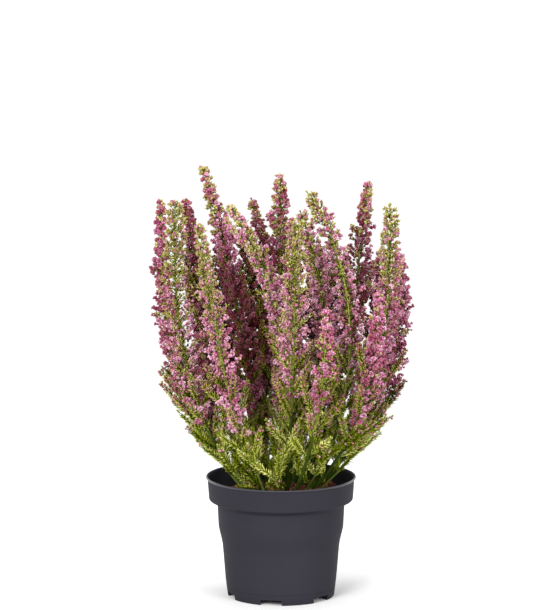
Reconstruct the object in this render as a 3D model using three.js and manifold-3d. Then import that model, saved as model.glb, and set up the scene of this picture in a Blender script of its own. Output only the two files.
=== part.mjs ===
// A potted heather: a round plastic nursery pot, its soil, upright flowering stems with a dense
// spike of small florets each, and low leafy shoots. Millimetres, +Z up, origin on the pot's axis
// at the level that the pot stands on, front towards -Y.

import * as THREE from "three";
import { mergeVertices } from "three/addons/utils/BufferGeometryUtils.js";
import Module from "manifold-3d";

const wasm = await Module();
wasm.setup();

// Pot: a flared foot, a body with a soft step, a wide band under the rim, and a lip
const POT_SIDES = 36;
const POT_HEIGHT = 97;
const RIM_RADIUS = 60;
const RIM_HEIGHT = 1.6;
const RIM_FLARE = 1;
const RIM_EDGE = 0.6;
const BAND_TOP_RADIUS = 58.7;
const BAND_BOTTOM_RADIUS = 57.6;
const BAND_BOTTOM_Z = 79;
const BAND_CORNER = 1;
const BODY_TOP_RADIUS = 50.8;
const BODY_TOP_Z = 74.5;
const STEP_TOP_RADIUS = 49.9;
const STEP_TOP_Z = 56.5;
const STEP_BOTTOM_RADIUS = 46.9;
const STEP_BOTTOM_Z = 43;
const FLARE_RADIUS = 44.4;
const FLARE_Z = 14;
const FOOT_RADIUS = 42.6;
const WALL = 1.3;
const LIP = 1.2;
const FOOT_WALL = 2.2;
const FLOOR_Z = 5.4;
const FLOOR_THICKNESS = 1.6;
const FLOOR_WIDER = 1.1;
const NOTCHES = 6;
const NOTCH_TURN = 19;
const NOTCH_WIDTH = 17;
const NOTCH_HEIGHT = 4.4;
const NOTCH_DEPTH = 7;
const DRAIN_SIDES = 6;
const DRAIN_RADIUS = 4;
const DRAIN_RING_RADIUS = 27;

// Soil: its mound as radius, height and how crumbly it is there, from the wall to the middle
const GAP = 0.3;
const SOIL_SIDES = 22;
const SOIL_MOUND = [
  [45.5, 82.5, 1],
  [37, 86, 1],
  [28, 87.5, 1],
  [14, 88.5, 0.6],
];
const SOIL_TOP_Z = 88.9;
const CRUMB_HEIGHT = 1.5;
const SOIL_SEED = 77;

// Flowering stems. Each tip and each bend is a point that the stem's curve is drawn from: the stem
// leaves the soil outwards, rises through the bend's side and ends at the tip.
const STEMS = [
  { tip: [-95, 2, 318], bend: [-100, 4, 185], tint: "pink" },
  { tip: [-83, -30, 323], bend: [-90, -38, 190], tint: "green" },
  { tip: [-76, 44, 314], bend: [-60, 50, 188], tint: "dark" },
  { tip: [-64, -54, 309], bend: [-47, -64, 185], tint: "light" },
  { tip: [-62, 6, 345], bend: [-26, 4, 228], tint: "pink" },
  { tip: [-38, -32, 320], bend: [19, -38, 250], tint: "light" },
  { tip: [-24, 62, 312], bend: [6, 58, 216], tint: "dark" },
  { tip: [0, 16, 337], bend: [3, 20, 200], tint: "pink" },
  { tip: [12, -64, 313], bend: [13, -68, 190], tint: "green" },
  { tip: [16, -6, 312], bend: [52, -10, 245], tint: "green" },
  { tip: [22, -30, 331], bend: [78, -34, 247], tint: "light" },
  { tip: [70, 16, 329], bend: [60, 14, 205], tint: "dark" },
  { tip: [86, -16, 319], bend: [92, -20, 198], tint: "light" },
  { tip: [94, 27, 272], bend: [105, 30, 175], tint: "pink" },
  { tip: [50, 48, 268], bend: [46, 52, 170], tint: "dark" },
  { tip: [36, -79, 246], bend: [34, -93, 165], tint: "pink" },
  { tip: [76, -50, 252], bend: [78, -62, 165], tint: "pink" },
  { tip: [-48, 74, 288], bend: [-52, 84, 165], tint: "pink" },
  { tip: [8, 83, 285], bend: [8, 90, 170], tint: "pink" },
  { tip: [42, 76, 280], bend: [42, 85, 170], tint: "light" },
  { tip: [80, 55, 268], bend: [84, 62, 170], tint: "pink" },
  { tip: [-28, 30, 290], bend: [-21, 28, 185], tint: "dark" },
  { tip: [30, 22, 280], bend: [26, 24, 185], tint: "dark" },
];
const ROOT_Z = 75;
const ROOT_RING = 4;
const ROOT_SPREAD = 0.13;
const STEM_SPREAD = 0.46;
const STEM_RISE = 42;
const STEM_ROOT_RADIUS = 1.9;
const STEM_TOP_RADIUS = 1.5;
const STEM_SEGMENTS = 4;
const STEM_POINT = 8;
const STEM_SEED = 100;
const IN_SOIL = 24;

// Flower spikes: four-sided, with a floret on every other face of each row. The least values are
// shares of the full size that are left where the spike is thinnest.
const SPIKE_START_Z = 148;
const SPIKE_START_STEP = 6;
const CORE_RADIUS = 4.4;
const CORE_LEAST = 0.25;
const FLORET_HEIGHT = 6;
const FLORET_RADIUS = 5;
const FLORET_LIFT = 0.3;
const FLORET_CORNERS = [-90, 30, 150];
const ROW_SPACING = 13.2;
const ROW_LEAST = 0.35;
const TAPER_LENGTH = 60;
const TIP_SCALE = 0.34;
const TIP_HEIGHT = 2;
const FOOT_LENGTH = 20;
const FOOT_SCALE = 0.6;

// Leafy shoots, each on its own side of the pot, with how far out and how high its tip is
const SHOOTS = [
  { turn: 2, reach: 84, rise: 146 },
  { turn: 26, reach: 68, rise: 130 },
  { turn: 75, reach: 66, rise: 138 },
  { turn: 112, reach: 62, rise: 130 },
  { turn: 134, reach: 68, rise: 136 },
  { turn: 162, reach: 64, rise: 130 },
  { turn: 192, reach: 68, rise: 138 },
  { turn: 220, reach: 65, rise: 130 },
  { turn: 246, reach: 64, rise: 134 },
  { turn: 268, reach: 60, rise: 128 },
  { turn: 306, reach: 66, rise: 132 },
  { turn: 334, reach: 76, rise: 134 },
];
const SHOOT_ROOT_RADIUS = 21;
const SHOOT_SPREAD = 0.25;
const SHOOT_RISE = 21;
const SHOOT_BEND = 0.8;
const SHOOT_BEND_DROP = 22;
const SHOOT_RADIUS = 1.3;
const SHOOT_BARE_PART = 0.42;
const SHOOT_BANDS = 6;
const SHOOT_SEED = 500;

// Side sprigs of the flowering stems, between the soil and the flowers
const SPRIGS_PER_STEM = 3;
const SPRIGS_ABOVE_SOIL = 8;
const SPRIGS_BELOW_FLOWERS = 14;
const SPRIG_LENGTHS = [27, 21, 16];
const SPRIG_RADIUS = 0.9;
const SPRIG_STALK = 5;
const SPRIG_BANDS = 4;
const SPRIG_LEAN = 38;
const SPRIG_CLEARANCE = 4;
const SPRIG_LOWEST_TIP = 106;
const SPRIG_TRIES = 16;
const SPRIG_TURN = 2.4;
const TWIG_TAPER = 0.4;
const NEEDLE_LENGTH = 4;
const PIECE_LENGTH = 12;

const FINISHES = {
  pot: { color: 0x3e3c42, roughness: 0.45 },
  soil: { color: 0x5a2a22, roughness: 0.95 },
  stem: { color: 0x5a7d2c, roughness: 0.6 },
  shoot: { color: 0x8fa243, roughness: 0.65 },
  pink: { color: 0xa8567f, roughness: 0.7 },
  light: { color: 0xc081a3, roughness: 0.7 },
  dark: { color: 0x6a2148, roughness: 0.7 },
  green: { color: 0xa08a6c, roughness: 0.7 },
};

// A seeded stream of numbers from 0 to 1
function randomStream(seed) {
  let state = seed;
  return () => {
    state = (state * 16807) % 2147483647;
    return state / 2147483647;
  };
}

function between(random, low, high) {
  return low + (high - low) * random();
}

function radians(degrees) {
  return (degrees * Math.PI) / 180;
}

// How much wider a hole's corners are for the gap that its flat sides keep
function cornerGap(sides) {
  return GAP / Math.cos(Math.PI / sides);
}

function vector(values) {
  return new THREE.Vector3(values[0], values[1], values[2]);
}

// Closed meshes to solids and back
function solidOf(positions, triangles) {
  const mesh = new wasm.Mesh({
    numProp: 3,
    vertProperties: Float32Array.from(positions.flatMap((point) => [point.x, point.y, point.z])),
    triVerts: Uint32Array.from(triangles.flat()),
  });
  return new wasm.Manifold(mesh);
}

function solidOfGeometry(geometry) {
  const bare = geometry.clone();
  bare.deleteAttribute("normal");
  bare.deleteAttribute("uv");
  const merged = mergeVertices(bare, 1e-3);
  const points = [];
  for (let i = 0; i < merged.attributes.position.count; i += 1) {
    points.push(new THREE.Vector3().fromBufferAttribute(merged.attributes.position, i));
  }
  const triangles = [];
  for (let i = 0; i < merged.index.count; i += 3) {
    const [a, b, c] = [0, 1, 2].map((k) => merged.index.getX(i + k));
    if (a !== b && b !== c && c !== a) {
      triangles.push([a, b, c]);
    }
  }
  return solidOf(points, triangles);
}

function meshOf(name, solid, finish) {
  const data = solid.getMesh();
  const geometry = new THREE.BufferGeometry();
  geometry.setAttribute("position", new THREE.BufferAttribute(data.vertProperties, 3));
  geometry.setIndex(new THREE.BufferAttribute(data.triVerts, 1));
  geometry.computeVertexNormals();
  const material = new THREE.MeshStandardMaterial({ ...finish, metalness: 0 });
  const mesh = new THREE.Mesh(geometry, material);
  mesh.name = name;
  return mesh;
}

// A curve as a chain of short steps, with points and frames by distance along it
class Axis {
  constructor(root, spread, bend, tip, steps = 64) {
    const curve = new THREE.CubicBezierCurve3(root, spread, bend, tip);
    this.points = curve.getPoints(steps);
    this.lengths = [0];
    for (let i = 1; i < this.points.length; i += 1) {
      this.lengths.push(this.lengths[i - 1] + this.points[i].distanceTo(this.points[i - 1]));
    }
    this.length = this.lengths[steps];
  }

  step(distance) {
    let i = 1;
    while (i < this.lengths.length - 1 && this.lengths[i] < distance) {
      i += 1;
    }
    return i;
  }

  at(distance) {
    const i = this.step(distance);
    const share = (distance - this.lengths[i - 1]) / (this.lengths[i] - this.lengths[i - 1]);
    return this.points[i - 1].clone().lerp(this.points[i], share);
  }

  // Along, across and outwards: three unit vectors square to each other
  frame(distance) {
    const ahead = this.at(distance + 1).sub(this.at(distance - 1)).normalize();
    const across = new THREE.Vector3(0, 1, 0).cross(ahead).normalize();
    return { ahead, across, side: ahead.clone().cross(across) };
  }

  atHeight(z) {
    let i = 1;
    while (i < this.points.length - 1 && this.points[i].z < z) {
      i += 1;
    }
    const share = (z - this.points[i - 1].z) / (this.points[i].z - this.points[i - 1].z);
    return this.lengths[i - 1] + share * (this.lengths[i] - this.lengths[i - 1]);
  }
}

function ring(centre, frame, radius, sides, turn) {
  const points = [];
  for (let i = 0; i < sides; i += 1) {
    const angle = turn + (i * 2 * Math.PI) / sides;
    const point = centre.clone().addScaledVector(frame.across, radius * Math.cos(angle));
    points.push(point.addScaledVector(frame.side, radius * Math.sin(angle)));
  }
  return points;
}

// A growing list of points and triangles, ring by ring
class Skin {
  constructor(sides) {
    this.sides = sides;
    this.points = [];
    this.triangles = [];
    this.last = null;
  }

  add(points) {
    const first = this.points.length;
    this.points.push(...points);
    return points.map((_, i) => first + i);
  }

  // Closes the start with a fan to one point, which may lie inside as a pointed socket
  start(points, apex) {
    this.last = this.add(points);
    const [tip] = this.add([apex]);
    this.last.forEach((a, i) => {
      this.triangles.push([tip, this.last[(i + 1) % this.sides], a]);
    });
  }

  // The next ring stands over the gaps of the last one when it is turned by half a side, and the
  // face over each side of the last ring is handed to grow, which may raise something from it
  band(points, grow) {
    const next = this.add(points);
    this.last.forEach((a, i) => {
      const b = this.last[(i + 1) % this.sides];
      const c = next[i];
      const d = next[(i + 1) % this.sides];
      if (grow) {
        grow(a, b, c);
      } else {
        this.triangles.push([a, b, c]);
      }
      this.triangles.push([c, b, d]);
    });
    this.last = next;
  }

  end(apex, grow) {
    const [tip] = this.add([apex]);
    this.last.forEach((a, i) => {
      const b = this.last[(i + 1) % this.sides];
      if (grow) {
        grow(a, b, tip);
      } else {
        this.triangles.push([a, b, tip]);
      }
    });
  }

  middle(a, b, c) {
    const sum = this.points[a].clone().add(this.points[b]).add(this.points[c]);
    return sum.divideScalar(3);
  }

  solid() {
    return solidOf(this.points, this.triangles);
  }
}

// A floret raised from a face: a narrow foot that widens to a three-cornered crown
function raiseFloret(skin, a, b, c, centre, ahead, scale, random) {
  const foot = skin.middle(a, b, c);
  const outwards = foot.clone().sub(centre);
  outwards.addScaledVector(ahead, -outwards.dot(ahead)).normalize();
  const across = ahead.clone().cross(outwards);
  const facing = outwards.addScaledVector(ahead, FLORET_LIFT).normalize();
  const up = facing.clone().cross(across);
  const height = scale * FLORET_HEIGHT * between(random, 0.85, 1.15);
  const radius = scale * FLORET_RADIUS * between(random, 0.88, 1.12);
  const turn = between(random, -0.25, 0.25);
  const crown = FLORET_CORNERS.map((degrees) => {
    const angle = radians(degrees) + turn;
    const point = foot.clone().addScaledVector(facing, height);
    point.addScaledVector(across, radius * Math.cos(angle));
    return point.addScaledVector(up, radius * Math.sin(angle));
  });
  const [p, q, r] = skin.add(crown);
  skin.triangles.push([a, b, p], [b, q, p], [b, c, q], [c, r, q], [c, a, r], [a, p, r], [p, q, r]);
}

// A needle leaf raised from a face: three faces to one point, outwards and forwards
function raiseNeedle(skin, a, b, c, centre, ahead, length, random) {
  const foot = skin.middle(a, b, c);
  const outwards = foot.clone().sub(centre);
  outwards.addScaledVector(ahead, -outwards.dot(ahead)).normalize();
  const point = foot.clone().addScaledVector(outwards, length * between(random, 0.7, 0.9));
  point.addScaledVector(ahead, length * between(random, 0.5, 0.8));
  const [tip] = skin.add([point]);
  skin.triangles.push([a, b, tip], [b, c, tip], [c, a, tip]);
}

// The spike's width against its full width, by the distance from its foot and from its tip
function spikeScale(fromFoot, fromTip) {
  const foot = FOOT_SCALE + ((1 - FOOT_SCALE) * fromFoot) / FOOT_LENGTH;
  const tip = TIP_SCALE + ((1 - TIP_SCALE) * fromTip) / TAPER_LENGTH;
  return Math.min(1, foot, tip);
}

function flowerSpike(axis, from, random) {
  const skin = new Skin(4);
  const start = axis.frame(from);
  const socket = STEM_TOP_RADIUS + cornerGap(4);
  const rim = ring(axis.at(from), start, socket, 4, 0);
  const depth = (STEM_POINT * socket) / STEM_TOP_RADIUS;
  skin.start(rim, axis.at(from).addScaledVector(start.ahead, depth));
  let distance = from + ROW_SPACING / 2;
  let row = 1;
  while (distance < axis.length - 1) {
    const scale = spikeScale(distance - from, axis.length - distance);
    const frame = axis.frame(distance);
    const core = CORE_RADIUS * (CORE_LEAST + (1 - CORE_LEAST) * scale);
    const points = ring(axis.at(distance), frame, core, 4, (row * Math.PI) / 4);
    const below = axis.at(distance - ROW_SPACING / 3);
    const grow = (a, b, c) => raiseFloret(skin, a, b, c, below, frame.ahead, scale, random);
    skin.band(points, row > 1 ? grow : null);
    distance += ROW_SPACING * (ROW_LEAST + (1 - ROW_LEAST) * scale);
    row += 1;
  }
  const top = axis.frame(axis.length - 1);
  const below = axis.at(axis.length - TIP_HEIGHT);
  const grow = (a, b, c) => raiseFloret(skin, a, b, c, below, top.ahead, TIP_SCALE, random);
  skin.end(axis.at(axis.length).addScaledVector(top.ahead, TIP_HEIGHT), grow);
  return skin.solid();
}

// Stems
function stemAxis({ tip, bend }) {
  const end = vector(bend);
  const away = new THREE.Vector3(end.x, end.y, 0);
  const reach = away.length();
  const direction = away.clone().normalize();
  const root = direction.multiplyScalar(ROOT_RING + ROOT_SPREAD * reach).setZ(ROOT_Z);
  const spread = root.clone().addScaledVector(away, STEM_SPREAD);
  spread.z += STEM_RISE;
  return new Axis(root, spread, end, vector(tip));
}

function stemRadius(distance, length) {
  return STEM_ROOT_RADIUS + ((STEM_TOP_RADIUS - STEM_ROOT_RADIUS) * distance) / length;
}

function stemTube(axis, length) {
  const skin = new Skin(4);
  const rings = [0, IN_SOIL];
  for (let i = 1; i < STEM_SEGMENTS; i += 1) {
    rings.push(IN_SOIL + ((length - IN_SOIL) * i) / (STEM_SEGMENTS - 1));
  }
  rings.forEach((distance, i) => {
    const radius = stemRadius(distance, length);
    const points = ring(axis.at(distance), axis.frame(distance), radius, 4, 0);
    if (i === 0) {
      skin.start(points, axis.at(0));
    } else {
      skin.band(points);
    }
  });
  skin.end(axis.at(length).addScaledVector(axis.frame(length).ahead, STEM_POINT));
  return skin.solid();
}

// The hole that a stem or shoot stands in: its own straight foot, a gap wider all round
function footHole(axis, radius, sides) {
  const skin = new Skin(sides);
  const foot = axis.frame(0);
  const above = axis.frame(IN_SOIL);
  const along = axis.at(IN_SOIL).sub(axis.at(0)).normalize();
  const wide = radius + cornerGap(sides);
  const low = ring(axis.at(0), foot, wide, sides, 0);
  const start = low.map((point) => point.addScaledVector(along, -GAP));
  skin.start(start, axis.at(0).addScaledVector(along, -GAP));
  skin.band(ring(axis.at(IN_SOIL), above, wide, sides, 0));
  skin.end(axis.at(IN_SOIL).addScaledVector(along, GAP));
  return skin.solid();
}

// Distance between two straight pieces
function pieceDistance(a, b, c, d) {
  const u = b.clone().sub(a);
  const v = d.clone().sub(c);
  const w = a.clone().sub(c);
  const uu = u.dot(u);
  const uv = u.dot(v);
  const vv = v.dot(v);
  const spread = uu * vv - uv * uv;
  let s = spread < 1e-9 ? 0 : (uv * v.dot(w) - vv * u.dot(w)) / spread;
  s = Math.min(1, Math.max(0, s));
  const t = Math.min(1, Math.max(0, (uv * s + v.dot(w)) / vv));
  s = Math.min(1, Math.max(0, (uv * t - u.dot(w)) / uu));
  return w.addScaledVector(u, s).addScaledVector(v, -t).length();
}

// What a new sprig has to stay clear of: straight pieces with a radius and the stem they are on
const occupied = [];

function occupyAxis(owner, axis, from, to, radius) {
  const pieces = Math.max(1, Math.round((to - from) / PIECE_LENGTH));
  for (let i = 0; i < pieces; i += 1) {
    const start = from + ((to - from) * i) / pieces;
    const end = from + ((to - from) * (i + 1)) / pieces;
    occupied.push({ owner, a: axis.at(start), b: axis.at(end), radius });
  }
}

function isClear(owner, a, b, radius) {
  return occupied.every((piece) => {
    const room = pieceDistance(a, b, piece.a, piece.b) - radius - piece.radius;
    return room > GAP || (piece.owner === owner && piece.radius <= STEM_ROOT_RADIUS);
  });
}

// A slim stalk with rings of needles; bands is how many rings, bare is the stalk below them
function leafyTwig(axis, radius, bare, bands, random) {
  const skin = new Skin(3);
  skin.start(ring(axis.at(0), axis.frame(0), radius, 3, 0), axis.at(0));
  const count = bare.length + bands;
  let last = 0;
  for (let i = 0; i < count; i += 1) {
    const stalk = bare.length > 0 ? bare[bare.length - 1] : 0;
    const distance = i < bare.length
      ? bare[i]
      : stalk + ((axis.length - stalk) * (i - bare.length + 1)) / (bands + 1);
    const frame = axis.frame(distance);
    const thin = radius * (1 - (TWIG_TAPER * distance) / axis.length);
    const turn = (Math.max(0, i + 1 - bare.length) * Math.PI) / 3;
    const points = ring(axis.at(distance), frame, thin, 3, turn);
    const centre = axis.at((last + distance) / 2);
    const grow = (a, b, c) =>
      raiseNeedle(skin, a, b, c, centre, frame.ahead, NEEDLE_LENGTH, random);
    skin.band(points, i < bare.length ? null : grow);
    last = distance;
  }
  skin.end(axis.at(axis.length));
  return skin.solid();
}

function straightAxis(from, to) {
  const third = from.clone().lerp(to, 1 / 3);
  return new Axis(from, third, from.clone().lerp(to, 2 / 3), to, 8);
}

// A sprig's straight axis, if one of its lengths ends clear of everything else
function clearSprig(owner, from, direction) {
  for (const length of SPRIG_LENGTHS) {
    const to = from.clone().addScaledVector(direction, length);
    const leafy = from.clone().addScaledVector(direction, SPRIG_STALK + NEEDLE_LENGTH);
    if (to.z > SPRIG_LOWEST_TIP && isClear(owner, leafy, to, SPRIG_CLEARANCE)) {
      occupied.push({ owner, a: leafy, b: to, radius: SPRIG_CLEARANCE });
      return straightAxis(from, to);
    }
  }
  return null;
}

// Sprigs leave the stem below its flowers, each turned until it meets nothing
function sprigsOf(owner, axis, length, random) {
  const sprigs = [];
  const lean = radians(SPRIG_LEAN);
  const lowest = IN_SOIL + SPRIGS_ABOVE_SOIL;
  const highest = length - SPRIGS_BELOW_FLOWERS;
  for (let i = 0; i < SPRIGS_PER_STEM; i += 1) {
    const share = (i + between(random, 0.6, 0.9)) / SPRIGS_PER_STEM;
    const distance = lowest + (highest - lowest) * share;
    const frame = axis.frame(distance);
    let turn = 2 * Math.PI * random();
    let twig = null;
    for (let attempt = 0; attempt < SPRIG_TRIES && !twig; attempt += 1) {
      const across = frame.across.clone().multiplyScalar(Math.cos(turn) * Math.sin(lean));
      across.addScaledVector(frame.side, Math.sin(turn) * Math.sin(lean));
      const direction = across.addScaledVector(frame.ahead, Math.cos(lean));
      twig = clearSprig(owner, axis.at(distance), direction);
      turn += SPRIG_TURN;
    }
    if (twig) {
      const bands = Math.round((SPRIG_BANDS * twig.length) / SPRIG_LENGTHS[0]);
      sprigs.push(leafyTwig(twig, SPRIG_RADIUS, [SPRIG_STALK], bands, random));
    }
  }
  return sprigs;
}

// Leafy shoots
function shootAxis({ turn, reach, rise }) {
  const out = new THREE.Vector3(Math.cos(radians(turn)), Math.sin(radians(turn)), 0);
  const place = (distance, z) => out.clone().multiplyScalar(distance).setZ(z);
  const root = place(SHOOT_ROOT_RADIUS, ROOT_Z);
  const spread = place(SHOOT_ROOT_RADIUS + reach * SHOOT_SPREAD, ROOT_Z + SHOOT_RISE);
  const bend = place(reach * SHOOT_BEND, rise - SHOOT_BEND_DROP);
  return new Axis(root, spread, bend, place(reach, rise));
}

// Soil: a plug that fills the pot's body, with a low mound of crumbs on top
function soilSolid() {
  const random = randomStream(SOIL_SEED);
  const skin = new Skin(SOIL_SIDES);
  const upright = {
    across: new THREE.Vector3(1, 0, 0),
    side: new THREE.Vector3(0, 1, 0),
  };
  const inside = WALL + 2 * GAP;
  const floor = FLOOR_Z + FLOOR_THICKNESS + GAP;
  const sides = [
    [FOOT_RADIUS - inside + FLOOR_WIDER, floor, 0],
    [STEP_BOTTOM_RADIUS - inside, STEP_BOTTOM_Z, 0],
    [STEP_TOP_RADIUS - inside, STEP_TOP_Z + 1, 0],
    [BODY_TOP_RADIUS - inside, BODY_TOP_Z - 1.5, 0],
    ...SOIL_MOUND,
  ];
  sides.forEach(([radius, z, crumbs], i) => {
    const half = (i * Math.PI) / SOIL_SIDES;
    const points = ring(new THREE.Vector3(0, 0, z), upright, radius, SOIL_SIDES, half);
    const rough = points.map((point) => {
      point.z += crumbs * CRUMB_HEIGHT * (2 * random() - 1);
      return point;
    });
    if (i === 0) {
      skin.start(rough, new THREE.Vector3(0, 0, z));
    } else {
      skin.band(rough);
    }
  });
  skin.end(new THREE.Vector3(0, 0, SOIL_TOP_Z));
  return skin.solid();
}

// Pot: one turned shell with a banded rim, a soft step, a raised floor, notches in its foot and
// drain holes in its floor
function potSolid() {
  const floorTop = FLOOR_Z + FLOOR_THICKNESS;
  const profile = [
    [0, FLOOR_Z],
    [FOOT_RADIUS - FOOT_WALL, FLOOR_Z],
    [FOOT_RADIUS - FOOT_WALL, 0],
    [FOOT_RADIUS, 0],
    [FLARE_RADIUS, FLARE_Z],
    [STEP_BOTTOM_RADIUS, STEP_BOTTOM_Z],
    [STEP_TOP_RADIUS, STEP_TOP_Z],
    [BODY_TOP_RADIUS, BODY_TOP_Z],
    [BAND_BOTTOM_RADIUS - BAND_CORNER, BAND_BOTTOM_Z - BAND_CORNER],
    [BAND_BOTTOM_RADIUS, BAND_BOTTOM_Z + BAND_CORNER],
    [BAND_TOP_RADIUS, POT_HEIGHT - RIM_HEIGHT - RIM_FLARE],
    [RIM_RADIUS, POT_HEIGHT - RIM_HEIGHT],
    [RIM_RADIUS, POT_HEIGHT - RIM_EDGE],
    [RIM_RADIUS - LIP, POT_HEIGHT],
    [BAND_TOP_RADIUS - WALL, POT_HEIGHT - RIM_HEIGHT],
    [BAND_BOTTOM_RADIUS - WALL, BAND_BOTTOM_Z + BAND_CORNER + RIM_EDGE],
    [BODY_TOP_RADIUS - WALL, BODY_TOP_Z + WALL],
    [STEP_TOP_RADIUS - WALL, STEP_TOP_Z],
    [STEP_BOTTOM_RADIUS - WALL, STEP_BOTTOM_Z],
    [FOOT_RADIUS - WALL + FLOOR_WIDER, floorTop],
    [0, floorTop],
  ];
  const points = profile.map(([radius, z]) => new THREE.Vector2(radius, z));
  const shell = new THREE.LatheGeometry(points, POT_SIDES);
  shell.rotateX(Math.PI / 2);
  let solid = solidOfGeometry(shell);
  for (let i = 0; i < NOTCHES; i += 1) {
    const angle = radians(NOTCH_TURN + (i * 360) / NOTCHES);
    const notch = new THREE.BoxGeometry(2 * NOTCH_DEPTH, NOTCH_WIDTH, 2 * NOTCH_HEIGHT);
    notch.translate(FOOT_RADIUS, 0, 0);
    notch.rotateZ(angle);
    const through = 4 * FLOOR_THICKNESS;
    const drain = new THREE.CylinderGeometry(DRAIN_RADIUS, DRAIN_RADIUS, through, DRAIN_SIDES);
    drain.rotateX(Math.PI / 2);
    drain.translate(DRAIN_RING_RADIUS, 0, FLOOR_Z);
    drain.rotateZ(angle);
    solid = solid.subtract(solidOfGeometry(notch)).subtract(solidOfGeometry(drain));
  }
  return solid;
}

function numbered(name, index) {
  return `${name}_${String(index + 1).padStart(2, "0")}`;
}

const heather = new THREE.Group();
heather.add(meshOf("pot", potSolid(), FINISHES.pot));

const axes = STEMS.map(stemAxis);
const lengths = axes.map((axis, i) => axis.atHeight(SPIKE_START_Z + SPIKE_START_STEP * (i % 3)));
const shootAxes = SHOOTS.map(shootAxis);

axes.forEach((axis, i) => {
  occupyAxis(`stem${i}`, axis, 0, lengths[i], STEM_ROOT_RADIUS);
  occupyAxis(`spike${i}`, axis, lengths[i], axis.length, CORE_RADIUS + FLORET_HEIGHT);
});
shootAxes.forEach((axis, i) => {
  const leafy = axis.length * SHOOT_BARE_PART;
  occupyAxis(`shoot${i}`, axis, 0, leafy, SHOOT_RADIUS);
  occupyAxis(`shoot${i}`, axis, leafy, axis.length, SPRIG_CLEARANCE);
});

let soil = soilSolid();

axes.forEach((axis, i) => {
  const random = randomStream(STEM_SEED + i);
  const length = lengths[i];
  let stem = stemTube(axis, length);
  sprigsOf(`stem${i}`, axis, length, random).forEach((sprig) => {
    stem = stem.add(sprig);
  });
  soil = soil.subtract(footHole(axis, STEM_ROOT_RADIUS, 4));
  const spike = flowerSpike(axis, length, random);
  heather.add(meshOf(numbered("stem", i), stem, FINISHES.stem));
  heather.add(meshOf(numbered("flowers", i), spike, FINISHES[STEMS[i].tint]));
});

shootAxes.forEach((axis, i) => {
  const random = randomStream(SHOOT_SEED + i);
  const bare = [IN_SOIL, axis.length * SHOOT_BARE_PART];
  const shoot = leafyTwig(axis, SHOOT_RADIUS, bare, SHOOT_BANDS, random);
  soil = soil.subtract(footHole(axis, SHOOT_RADIUS, 3));
  heather.add(meshOf(numbered("leafy_shoot", i), shoot, FINISHES.shoot));
});

heather.add(meshOf("soil", soil, FINISHES.soil));

export default heather;
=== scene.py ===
import math

import bmesh
import bpy
import numpy as np
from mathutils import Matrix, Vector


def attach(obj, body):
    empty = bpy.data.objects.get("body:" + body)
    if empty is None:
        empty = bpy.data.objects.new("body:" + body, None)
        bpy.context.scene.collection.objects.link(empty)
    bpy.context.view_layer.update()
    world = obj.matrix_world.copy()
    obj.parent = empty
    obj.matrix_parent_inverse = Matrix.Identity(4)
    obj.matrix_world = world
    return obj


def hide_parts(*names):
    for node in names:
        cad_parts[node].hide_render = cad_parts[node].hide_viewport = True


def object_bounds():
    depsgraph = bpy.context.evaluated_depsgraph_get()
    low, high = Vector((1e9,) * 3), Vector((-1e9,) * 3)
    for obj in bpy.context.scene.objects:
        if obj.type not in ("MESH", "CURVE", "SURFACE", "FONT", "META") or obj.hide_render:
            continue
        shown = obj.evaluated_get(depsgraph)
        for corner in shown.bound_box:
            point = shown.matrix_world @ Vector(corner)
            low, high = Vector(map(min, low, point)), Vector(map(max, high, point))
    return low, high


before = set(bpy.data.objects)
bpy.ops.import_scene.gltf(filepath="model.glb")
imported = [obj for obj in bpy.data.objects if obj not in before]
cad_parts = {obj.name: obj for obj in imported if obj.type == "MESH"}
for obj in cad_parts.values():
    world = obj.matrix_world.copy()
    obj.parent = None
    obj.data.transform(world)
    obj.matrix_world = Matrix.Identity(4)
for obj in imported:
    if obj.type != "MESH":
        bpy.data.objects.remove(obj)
CAD_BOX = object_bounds()

MM = 0.001
ROOT = "root"

# ---- driving values, millimetres

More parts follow.
